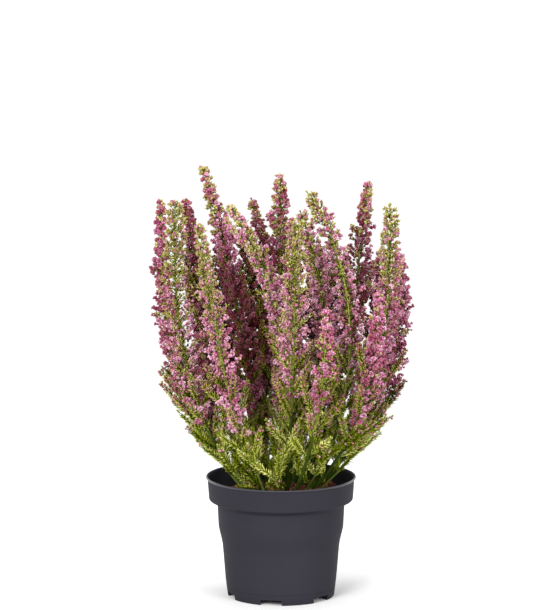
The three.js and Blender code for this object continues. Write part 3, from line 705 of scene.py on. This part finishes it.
def add_florets(rows, look, florets, random):
    """A cluster of florets round the outer part of each branchlet, and some nearer its foot."""
    rows = {key: value[rows["kept"]] for key, value in rows.items()}
    branches = len(rows["reach"])
    outer = random.integers(*OUTER_COUNT, branches)
    dense = rising(rows["from_tip"], *DENSE_FROM_TIP)
    dense = dense * (1 - LOOSE_LEFT_OUT * look["loose"] * rising(rows["from_tip"], *LOOSE_FROM_TIP))
    inner = np.round(dense * random.uniform(*INNER_COUNT, branches)).astype(int)
    count = outer + inner
    which = np.repeat(np.arange(branches), count)
    place = np.arange(len(which)) - np.repeat(np.cumsum(count) - count, count)
    row = {key: value[which] for key, value in rows.items()}
    total = len(which)
    near = place < np.repeat(inner, count)
    packed = np.clip(PACKED_AT_TIP + row["from_tip"] / PACKED_OVER, PACKED_AT_TIP, PACKED_MOST)
    near_foot = random.uniform(*INNER_SPAN, total)
    share = np.where(near, near_foot, OUTER_FROM - random.random(total) * OUTER_SPAN / (OUTER_PACK + packed))
    foot = row["base"] + row["direction"] * (row["reach"] * share)[:, None]
    spin = np.repeat(random.uniform(0, FULL_TURN, branches), count) + place * FLORET_SPIN
    a = unit(np.cross(row["direction"], FLORET_ASIDE))
    b = np.cross(row["direction"], a)
    away = turned(spin, a, b)
    upright = UPRIGHT + UPRIGHT_AT_TIP * np.exp(-row["from_tip"] / UPRIGHT_FADE)
    splay = random.uniform(*SPLAY_RANGE, total)
    up = row["direction"] + splay[:, None] * away + upright[:, None] * row["ahead"]
    reach_green = look["green"] * (1 + GREEN_PARTED * np.maximum(0.0, row["faced"]))
    share_green = look["sage"] * np.clip(GREEN_AT_TIP - GREEN_DROP * row["from_tip"] / reach_green, 0, 1)
    share_green = np.maximum(share_green, SAGE_LEAST)
    green_branch = random.random(branches)[which] < share_green
    is_green = random.random(total) < np.where(green_branch, GREEN_IN_BRANCH, GREEN_ELSEWHERE * share_green)
    green = np.where(is_green, random.uniform(*GREEN_RANGE, total), random.uniform(*BLOOM_RANGE, total))
    is_slim = is_green & (random.random(total) < look["sage"])
    is_open = ~is_green & ~near & (random.random(total) < rising(row["from_tip"], *OPEN_FROM_TIP))
    is_star = is_open & (random.random(total) < STAR_SHARE)
    is_inner = ~is_green & near
    is_bead = ~(is_slim | is_open | is_inner)
    size = row["size"] * random.uniform(*SIZE_RANGE, total)
    for shape, chosen, long, wide, smooth in (
            (BEAD, is_bead, 1.0, 1.0, True),
            (INNER_BEAD, is_inner, 1.15, 1.15, False),
            (STAR, is_star, 0.88, 0.98, False),
            (CUP, is_open & ~is_star, 0.85, 0.95, False),
            (SLIM_BUD, is_slim, 1.15, 1.15, False)):
        florets.scatter(shape, foot[chosen], up[chosen], BUD_LENGTH * long * size[chosen],
                        BUD_WIDTH * wide * size[chosen], random, green[chosen], row["dim"][chosen],
                        row["tone"][chosen], smooth, look["deep"])


# A spike's small leaves, at each branchlet's foot and at the middle of a share of them
FOOT_LEAF, FOOT_SAGE = (2.8, 4.6), (0.1, 0.9)
MIDDLE_LEAF, MIDDLE_SPAN, MIDDLE_SHARE = (2.2, 3.6), (0.3, 0.75), 0.6
# Larger ones close to the stem, dark with painted shade, from this far below the tip on, and some where a
# branchlet is missing
DEEP_FROM_TIP, DEEP_STEP, DEEP_LEAF = 30, 2.2, (5.0, 4.8)
BARE_LEAVES, BARE_SPAN, BARE_LEAF = 4, (0.05, 0.6), (3.6, 3.4)


def add_spike_leaves(rows, leaves, random):
    """Small leaves at the foot and the middle of each branchlet, and where a branchlet is missing."""
    count = len(rows["reach"])
    base, out, ahead, direction = rows["base"], rows["out"], rows["ahead"], rows["direction"]
    reach, size, dim, tone = rows["reach"], rows["size"], rows["dim"], rows["tone"]
    long = random.uniform(*FOOT_LEAF, count) * size
    sage = random.uniform(*FOOT_SAGE, count)
    leaves.scatter(NEEDLE, base + out * 0.8, 0.9 * out + ahead, long, long * 0.95, random, sage, dim, tone)
    middle = base + direction * (reach * random.uniform(*MIDDLE_SPAN, count))[:, None]
    up = direction + 0.7 * random.normal(size=(count, 3))
    long = random.uniform(*MIDDLE_LEAF, count) * size
    few = random.random(count) < MIDDLE_SHARE
    leaves.scatter(NEEDLE, middle[few], up[few], long[few], long[few], random, 0.3, dim[few], tone[few])
    deep = rows["from_tip"] > DEEP_FROM_TIP
    up = 1.3 * np.roll(out, 1, 0)[deep] + ahead[deep]
    leaves.scatter(NEEDLE, base[deep] + ahead[deep] * DEEP_STEP, up, *DEEP_LEAF, random, 0.0,
                   np.maximum(dim[deep], 0.6), 0.1)
    bare = np.repeat(np.nonzero(~rows["kept"])[0], BARE_LEAVES)
    foot = base[bare] + direction[bare] * (reach[bare] * random.uniform(*BARE_SPAN, len(bare)))[:, None]
    up = direction[bare] + 0.6 * random.normal(size=(len(bare), 3))
    leaves.scatter(NEEDLE, foot, up, BARE_LEAF[0] * size[bare], BARE_LEAF[1] * size[bare], random, 0.35,
                   dim[bare], 0.8)


BRANCHLET_RADIUS = 0.42
TIP_BUD_DROP, TIP_BUD = 1.5, (2.8, 2.6)


def flower_spike(axis, start, look, florets, stalks, leaves, random):
    rows = branchlets(axis, start, look, random)
    kept = rows["kept"]
    stalks.scatter(STALK, rows["base"][kept], rows["direction"][kept], rows["reach"][kept],
                   BRANCHLET_RADIUS * rows["size"][kept], random, shade=rows["dim"][kept])
    add_florets(rows, look, florets, random)
    add_spike_leaves(rows, leaves, random)
    end = [axis.length - TIP_BUD_DROP]
    florets.scatter(BEAD, axis.at(end), axis.frame(end)[0], *TIP_BUD, random, look["sage"])


# A leafy twig: its radii, and its rows of leaves with their spacing, length, width and splay, which get
# shorter towards both of its ends
TWIG_RADII = (0.6, 0.35)
LEAF_ROWS, LEAF_SPACING, LEAF_TURN_SPREAD = 3, 1.2, 0.25
LEAF_LENGTHS, LEAF_WIDTH, LEAF_SPLAY = (0.75, 1.2), 0.85, (0.6, 1.25)
LEAF_FADE, LEAF_AT_TIP, LEAF_AT_FOOT = 8, 0.55, 0.6
# Its pink buds start this share of the way along it, and are all there after another
BUDS_FROM, BUDS_OVER, BUDS_IN_CLUSTER = 0.35, 0.4, 5
SMALL_BUD, SMALL_BUD_WIDTH, SMALL_BUD_GREEN = (1.8, 2.6), 0.85, 0.22
END_LEAVES, END_LEAF = 3, (3.0, 3.0)


def leafy_twig(axis, start, pink, stalks, leaves, florets, random, dim=0.0):
    """A plume: a twig closely set with awl-shaped leaves, and pink buds over its outer part."""
    tone = random.random() ** 0.8
    # Painted shade, passed in, darkens the whole twig
    stalks.tube(axis, 0.0, axis.length, TWIG_RADII, 3, 4, tone, shade=dim)
    distance = np.arange(start, axis.length, LEAF_SPACING)
    ahead, across, side = axis.frame(distance)
    first = random.uniform(0, math.pi)
    shrink = rising(axis.length - distance, 0, LEAF_FADE, LEAF_AT_TIP)
    shrink = shrink * rising(distance, 0, LEAF_FADE, LEAF_AT_FOOT)
    for k in range(LEAF_ROWS):
        turn = first + np.arange(len(distance)) * math.pi / 3 + k * 2 * math.pi / LEAF_ROWS
        turn = turn + random.normal(0, LEAF_TURN_SPREAD, len(distance))
        out = turned(turn, across, side)
        length = LEAF_LENGTH * shrink * random.uniform(*LEAF_LENGTHS, len(distance))
        up = out * random.uniform(*LEAF_SPLAY, len(distance))[:, None] + ahead
        leaves.scatter(NEEDLE, axis.at(distance) + out * 0.3, up, length, length * LEAF_WIDTH, random,
                       shade=dim, tone=tone)
    outer = rising(distance, axis.length * BUDS_FROM, axis.length * BUDS_OVER)
    chosen = np.repeat(np.nonzero(random.random(len(distance)) < pink * outer)[0], BUDS_IN_CLUSTER)
    turn = random.uniform(0, FULL_TURN, len(chosen))
    out = turned(turn, across[chosen], side[chosen])
    size = random.uniform(*SMALL_BUD, len(chosen))
    florets.scatter(BEAD, axis.at(distance[chosen]) + out * 0.8, out + ahead[chosen], size,
                    size * SMALL_BUD_WIDTH, random, green=SMALL_BUD_GREEN, shade=dim,
                    tone=random.uniform(0.2, 0.8), deep=0.15)
    end = np.repeat(axis.at([axis.length]), END_LEAVES, 0) - ahead[-1:] * 0.8
    up = ahead[-1:] + 0.3 * random.normal(size=(END_LEAVES, 3))
    leaves.scatter(NEEDLE, end, up, *END_LEAF, random, shade=dim, tone=tone)


# Twigs round a stem: their lean in degrees, more of it low down, and their length, cut until they fit
TWIG_LEAN, TWIG_LEAN_LOW, TWIG_LOW_Z = (24, 42), 18, (118, -25)
TWIG_LENGTH, TWIG_SHORTEST, TWIG_CUT, TWIG_LIFT = (22, 38), 11, 0.85, 0.14
TWIG_TURN_SPREAD = 0.4
TWIG_BARE = 3.0
# How pink they are by the height of their tip, and how dark their painted shade is: with their stem,
# high up and low down
TWIG_PINK_Z = (132, 60, 0.03, 0.6)
TWIG_STEM_SHADE_Z = (150, 30)
TWIG_SHADE, TWIG_HIGH_Z, TWIG_LOWEST_Z = 0.45, (145, 25), (112, -12)


def side_twigs(axis, low, high, count, stalks, leaves, florets, random, shade=0.0):
    """Leafy twigs round a stem, kept within the bush; the upper ones carry more pink buds."""
    for i in range(count):
        distance = low + (high - low) * (i + random.uniform(0.1, 0.9)) / count
        ahead, across, side = axis.frame(distance)
        foot = axis.at(distance)
        turn = i * GOLDEN + random.normal(0, TWIG_TURN_SPREAD)
        out = math.cos(turn) * across + math.sin(turn) * side
        lean = math.radians(random.uniform(*TWIG_LEAN) + TWIG_LEAN_LOW * rising(foot[2], *TWIG_LOW_Z))
        direction = math.cos(lean) * ahead + math.sin(lean) * out
        length = random.uniform(*TWIG_LENGTH)
        while length > TWIG_SHORTEST:
            twig = twig_axis(foot, direction, length, TWIG_LIFT)
            tip = twig.at(twig.length)
            if within_bush(tip):
                pink = rising(tip[2], *TWIG_PINK_Z)
                # Painted shade: twigs darker with their stem, high up among the spikes and low down near the
                # soil
                dim = max(shade * rising(tip[2], *TWIG_STEM_SHADE_Z),
                          TWIG_SHADE * rising(tip[2], *TWIG_HIGH_Z),
                          TWIG_SHADE * rising(tip[2], *TWIG_LOWEST_Z))
                leafy_twig(twig, TWIG_BARE, pink, stalks, leaves, florets, random, dim)
                break
            length *= TWIG_CUT


def twig_to(axis, leaves_at, end):
    """A twig that leaves a stem at one height and ends at a point."""
    foot = axis.at(axis.at_height(leaves_at))
    way = np.array(end, float) - foot
    return twig_axis(foot, way, 0.94 * np.linalg.norm(way), 0.06)


def flattened(distance):
    """A stem is a little flat near its root."""
    return 1 + 0.25 * rising(distance, 45, -30)


def plant_piece(name, index, surface, material, slot, node):
    name = f"{name}_{index + 1:02d}"
    make_piece(name, surface.mesh(name), material, slot, f"{node}_{index + 1:02d}")


STEM_SEED, SHOOT_SEED, SOIL_SEED = 1000, 2000, 77
STEM_RADII, UPPER_STEM_RADII = (1.35, 1.15), (1.25, 0.5)
SIDE_STEM_RADII, SHOOT_RADII = (0.8, 0.4), (1.3, 0.8)
STEM_TWIGS, TWIG_PER_LEAFY = 11, 12
STEM_TWIG_SHADE = 1.1
SIDE_SPIKE_FADE, SIDE_SPIKE_LOOSE = 8, 0.3


def flowering_stem(index, tip, bend, tint, look):
    random = np.random.default_rng(STEM_SEED + index)
    look = {**USUAL_LOOK, **look}
    axis = stem_axis(tip, bend)
    start = axis.at_height(SPIKE_START_Z + SPIKE_START_STEP * (index % 3))
    florets, stalks, leaves = Surface(), Surface(), Surface()
    stalks.tube(axis, 0.0, start, STEM_RADII, 8, 24, random.uniform(0, 0.3), flattened)
    stalks.tube(axis, start - 1, axis.length - 1, UPPER_STEM_RADII, 7, 32, random.uniform(0.2, 0.8),
                shade=0.5 * look["shade"], green=random.uniform(0.15, 0.8))
    flower_spike(axis, start, look, florets, stalks, leaves, random)
    side_twigs(axis, look["bare"], start + look["leafy"], STEM_TWIGS + look["leafy"] // TWIG_PER_LEAFY,
               stalks, leaves, florets, random, STEM_TWIG_SHADE * look["shade"])
    for leaves_at, end, pink, *shade in PLUMES.get(index, []):
        leafy_twig(twig_to(axis, leaves_at, end), TWIG_BARE, pink, stalks, leaves, florets, random, *shade)
    for leaves_at, end, width, shade in SIDE_SPIKES.get(index, []):
        twig = twig_to(axis, leaves_at, end)
        narrow = {**look, "parting": None, "starts": 0, "fade": SIDE_SPIKE_FADE, "loose": SIDE_SPIKE_LOOSE,
                  "width": width, "shade": shade}
        stalks.tube(twig, 0.0, twig.length - 1, SIDE_STEM_RADII, 5, 10, 0.4, green=0.4)
        flower_spike(twig, SPIKE_LEAD, narrow, florets, stalks, leaves, random)
    plant_piece("florets", index, florets, FLORETS[tint], f"flowers_{tint}", "flowers")
    plant_piece("stalks", index, stalks, STEM_GREEN, "stem", "stem")
    plant_piece("leaves", index, leaves, LEAF_GREEN, "stem", "stem")


# A shoot's stout part, and the points that its plume leans on, as shares of its length
SHOOT_STOUT = 0.55
SHOOT_UPPER = (0.5, 0.67, 0.84, 1.0)
SHOOT_TWIGS, SHOOT_TWIGS_FROM, SHOOT_TWIGS_END = 9, 16, 12


def leafy_shoot(index, turn, reach, rise):
    random = np.random.default_rng(SHOOT_SEED + index)
    axis = shoot_axis(turn, reach, rise)
    florets, stalks, leaves = Surface(), Surface(), Surface()
    stalks.tube(axis, 0.0, axis.length * SHOOT_STOUT, SHOOT_RADII, 8, 16, random.random())
    upper = Axis(*(axis.at(axis.length * share) for share in SHOOT_UPPER), 24)
    leafy_twig(upper, 2.0, 0.08, stalks, leaves, florets, random)
    side_twigs(axis, SHOOT_TWIGS_FROM, axis.length - SHOOT_TWIGS_END, SHOOT_TWIGS, stalks, leaves, florets,
               random)
    plant_piece("shoot_leaves", index, leaves, LEAF_GREEN, "leafy_shoot", "leafy_shoot")
    plant_piece("shoot_stalks", index, stalks, STEM_GREEN, "leafy_shoot", "leafy_shoot")
    plant_piece("shoot_buds", index, florets, FLORETS["light"], "leafy_shoot", "leafy_shoot")


# ---- pot and soil

POT_PROFILE = [
    (0, 5.4), (40.4, 5.4), (40.4, 0.4), (40.8, 0), (42.2, 0), (42.6, 0.5), (43.6, 7.6), (43.3, 8.0),
    (43.7, 8.4), (44.4, 14), (46.6, 40.5), (46.9, 43), (47.5, 45.8), (49.2, 53), (49.9, 56.5), (50.1, 59.5),
    (50.8, 74.0), (51.0, 74.9), (51.6, 75.5), (56.8, 78.1), (57.4, 78.6), (57.6, 79.4),
    (58.7, 94.2), (58.9, 94.9), (59.7, 95.5), (60, 95.9), (60, 96.5), (59.7, 96.9), (59.2, 97), (58.4, 96.8),
    (57.6, 95.9), (57.4, 95.0), (56.3, 80.6), (55.8, 79.8), (49.9, 76.4), (49.5, 75.4),
    (48.6, 56.5), (45.6, 43), (42.4, 7.4), (42.0, 7.0), (0, 7.0),
]
POT_SIDES = 144
LIP_FOOT_Z = 95.4
LIP_INSIDE = 58.8
NOTCHES = 6
NOTCH_TURN = 19
NOTCH_SIZE = (14, 17, 8.8)
FOOT_RADIUS = 42.6
FLOOR_Z = 5.4
DRAIN_RADIUS = 4
DRAIN_DEPTH = 6
DRAIN_RING_RADIUS = 27
DRAIN_SIDES = 20
SHARP_ANGLE = math.radians(32)


def lathe(profile, sides):
    """A closed shell turned round +Z from a profile that starts and ends on the axis."""
    shell = bmesh.new()
    rings = []
    for radius, z in profile:
        if radius == 0:
            rings.append([shell.verts.new((0, 0, z * MM))] * sides)
            continue
        ring = []
        for angle in turns(sides):
            point = (radius * MM * math.cos(angle), radius * MM * math.sin(angle), z * MM)
            ring.append(shell.verts.new(point))
        rings.append(ring)
    for low, high in zip(rings, rings[1:]):
        for i in range(sides):
            j = (i + 1) % sides
            corners = dict.fromkeys((low[i], low[j], high[j], high[i]))
            shell.faces.new(tuple(corners))
    bmesh.ops.recalc_face_normals(shell, faces=shell.faces)
    return shell


def mesh_from(builder, name):
    mesh = bpy.data.meshes.new(name)
    builder.to_mesh(mesh)
    builder.free()
    return mesh


def cutter_object(builder, size, place, turn):
    """An object that cuts: the builder's shape, scaled, moved and turned about the pot's axis."""
    bmesh.ops.scale(builder, vec=[v * MM for v in size], verts=builder.verts)
    bmesh.ops.translate(builder, vec=[v * MM for v in place], verts=builder.verts)
    cutter = add_object("cutter", mesh_from(builder, "cutter"))
    cutter.rotation_euler.z = turn
    return cutter


def pot_cutters():
    """A notch in the foot and a drain hole in the floor at each of the same turns."""
    cutters = []
    for i in range(NOTCHES):
        turn = math.radians(NOTCH_TURN + i * 360 / NOTCHES)
        notch = bmesh.new()
        bmesh.ops.create_cube(notch, size=1.0)
        cutters.append(cutter_object(notch, NOTCH_SIZE, (FOOT_RADIUS, 0, 0), turn))
        drain = bmesh.new()
        bmesh.ops.create_cone(drain, cap_ends=True, segments=DRAIN_SIDES, radius1=1, radius2=1, depth=1)
        size = (DRAIN_RADIUS, DRAIN_RADIUS, DRAIN_DEPTH)
        cutters.append(cutter_object(drain, size, (DRAIN_RING_RADIUS, 0, FLOOR_Z), turn))
    return cutters


def make_pot():
    mesh = mesh_from(lathe(POT_PROFILE, POT_SIDES), "pot_shell")
    piece = make_piece("pot_shell", mesh, pot_material("pot_plastic", 0.68, 0.12), "pot", "pot")
    mesh.materials.append(pot_material("pot_lip", 0.16, 0.5))
    cutters = pot_cutters()
    for cutter in cutters:
        cut = piece.modifiers.new("cut", "BOOLEAN")
        cut.object, cut.operation, cut.solver = cutter, "DIFFERENCE", "EXACT"
    bpy.context.view_layer.update()
    done = bpy.data.meshes.new_from_object(piece.evaluated_get(bpy.context.evaluated_depsgraph_get()))
    piece.modifiers.clear()
    piece.data = done
    for cutter in cutters:
        bpy.data.objects.remove(cutter)
    for face in done.polygons:
        on_lip = face.center.z > LIP_FOOT_Z * MM and face.center.xy.length > LIP_INSIDE * MM
        face.material_index = int(on_lip)
        face.use_smooth = True
    done.set_sharp_from_angle(angle=SHARP_ANGLE)


# The soil's mound: radii from the axis out to the wall, and its height at each
MOUND_RADII = [0, 14, 28, 37, 45.5, 48.8]
MOUND_HEIGHTS = [88.8, 88.4, 87.4, 85.9, 82.4, 73.5]
MOUND_TOP, SOIL_FOOT = 88.8, 7.4
SOIL_SIDES, SOIL_RINGS = 96, 40
SOIL_REACH = (1.2, 48.7)
# The plug's rings under the mound, close to the pot's inside
PLUG_RADII, PLUG_HEIGHTS = [48.0, 45.0, 41.8], [57.5, 43, SOIL_FOOT]
ROUGH = 0.35
PILE_HEIGHT, PILE_PLACE, PILE_WIDTH = 6.0, (37, 4), 11.0
CRUMBS, CRUMB_REACH, CRUMB_SIZE = 1600, 46.5, (1.0, 3.2)


def soil_height(radius):
    """The mound's height over the pot's axis out to the wall."""
    return np.interp(radius, MOUND_RADII, MOUND_HEIGHTS)


def soil_pile(x, y):
    """How much higher the granules lie at the right, where they show between the stems and the rim."""
    off = (x - PILE_PLACE[0]) ** 2 + (y - PILE_PLACE[1]) ** 2
    return PILE_HEIGHT * np.exp(-off / (2 * PILE_WIDTH ** 2))


def make_soil():
    random = np.random.default_rng(SOIL_SEED)
    soil = Surface()
    sides, mound = SOIL_SIDES, SOIL_RINGS - 2
    reach = np.concatenate([np.linspace(*SOIL_REACH, SOIL_RINGS), PLUG_RADII])
    low = np.concatenate([soil_height(reach[:SOIL_RINGS]), PLUG_HEIGHTS])
    angle = turns(sides)
    ring = np.stack([reach[:, None] * np.cos(angle), reach[:, None] * np.sin(angle),
                     np.repeat(low[:, None], sides, 1)], -1)
    ring[:mound, :, 2] += random.normal(0, ROUGH, (mound, sides))
    ring[:mound, :, 2] += soil_pile(ring[:mound, :, 0], ring[:mound, :, 1])
    points = np.concatenate([ring.reshape(-1, 3), [[0, 0, MOUND_TOP], [0, 0, SOIL_FOOT]]])
    # The first ring is the mound's inner one, so the faces turn the other way round
    soil.add(points, ring_faces(len(reach), sides)[:, ::-1], chance=0.25)
    radius = CRUMB_REACH * np.sqrt(random.random(CRUMBS))
    turn = random.uniform(0, 2 * math.pi, CRUMBS)
    size = random.uniform(*CRUMB_SIZE, CRUMBS)
    places = np.stack([radius * np.cos(turn), radius * np.sin(turn), soil_height(radius) + 0.15 * size], -1)
    places[:, 2] += soil_pile(places[:, 0], places[:, 1])
    ups = random.normal(size=(CRUMBS, 3))
    soil.scatter(CRUMB, places, ups, size, size * random.uniform(0.6, 1.1, CRUMBS), random, smooth=False)
    make_piece("soil_crumbs", soil.mesh("soil_crumbs"), soil_material(), "soil", "soil")


# ---- stage, light and camera

PIXEL = 0.795 * MM
PHOTO_SIZE = (555, 610)
POT_AXIS_PIXEL = (281, 597)
ELEVATION = math.radians(9.5)
CAMERA_DISTANCE = 4.0
FLOOR_RADIUS = 0.8
FLOOR_SIDES = 64
LIGHT_AIM = (0, 0, 0.2)


def add_camera():
    data = bpy.data.cameras.new("camera")
    data.lens = data.sensor_width * CAMERA_DISTANCE / (PHOTO_SIZE[1] * PIXEL)
    camera = add_object("camera", data)
    x = (PHOTO_SIZE[0] / 2 - POT_AXIS_PIXEL[0]) * PIXEL
    z = (POT_AXIS_PIXEL[1] - PHOTO_SIZE[1] / 2) * PIXEL / math.cos(ELEVATION)
    back, up = -math.cos(ELEVATION) * CAMERA_DISTANCE, math.sin(ELEVATION) * CAMERA_DISTANCE
    camera.location = (x, back, z + up)
    camera.rotation_euler = (math.pi / 2 - ELEVATION, 0, 0)
    bpy.context.scene.camera = camera


def add_area(name, place, size, power):
    data = bpy.data.lights.new(name, "AREA")
    data.shape, data.size, data.energy = "DISK", size, power
    lamp = add_object(name, data)
    lamp.location = place
    aim = np.array(LIGHT_AIM) - np.array(place)
    pitch = math.acos(-aim[2] / np.linalg.norm(aim))
    lamp.rotation_euler = (pitch, 0, math.atan2(aim[1], aim[0]) - math.pi / 2)


def add_stage():
    angle = turns(FLOOR_SIDES)
    points = np.stack([FLOOR_RADIUS * np.cos(angle), FLOOR_RADIUS * np.sin(angle), 0 * angle], -1)
    mesh = bpy.data.meshes.new("floor")
    mesh.from_pydata(points, [], [range(FLOOR_SIDES)])
    floor = add_object("floor", mesh)
    m = Nodes("pale_floor")
    mesh.materials.append(m.finish(Base_Color=(0.62, 0.62, 0.62, 1), Roughness=0.8))
    world = bpy.data.worlds.new("studio")
    world.use_nodes = True
    background = world.node_tree.nodes["Background"]
    background.inputs["Color"].default_value = (1, 1, 1, 1)
    background.inputs["Strength"].default_value = 1.05
    bpy.context.scene.world = world
    add_area("key", (-1.1, -2.0, 1.2), 1.3, 92)
    add_area("fill", (1.5, -1.7, 0.8), 1.2, 46)
    add_area("top", (0.0, 0.3, 1.9), 0.7, 22)
    bpy.context.scene.view_settings.view_transform = "Standard"


add_camera()
add_stage()
make_pot()
make_soil()
for index, stem in enumerate(STEMS):
    flowering_stem(index, *stem)
for index, shoot in enumerate(SHOOTS):
    leafy_shoot(index, *shoot)
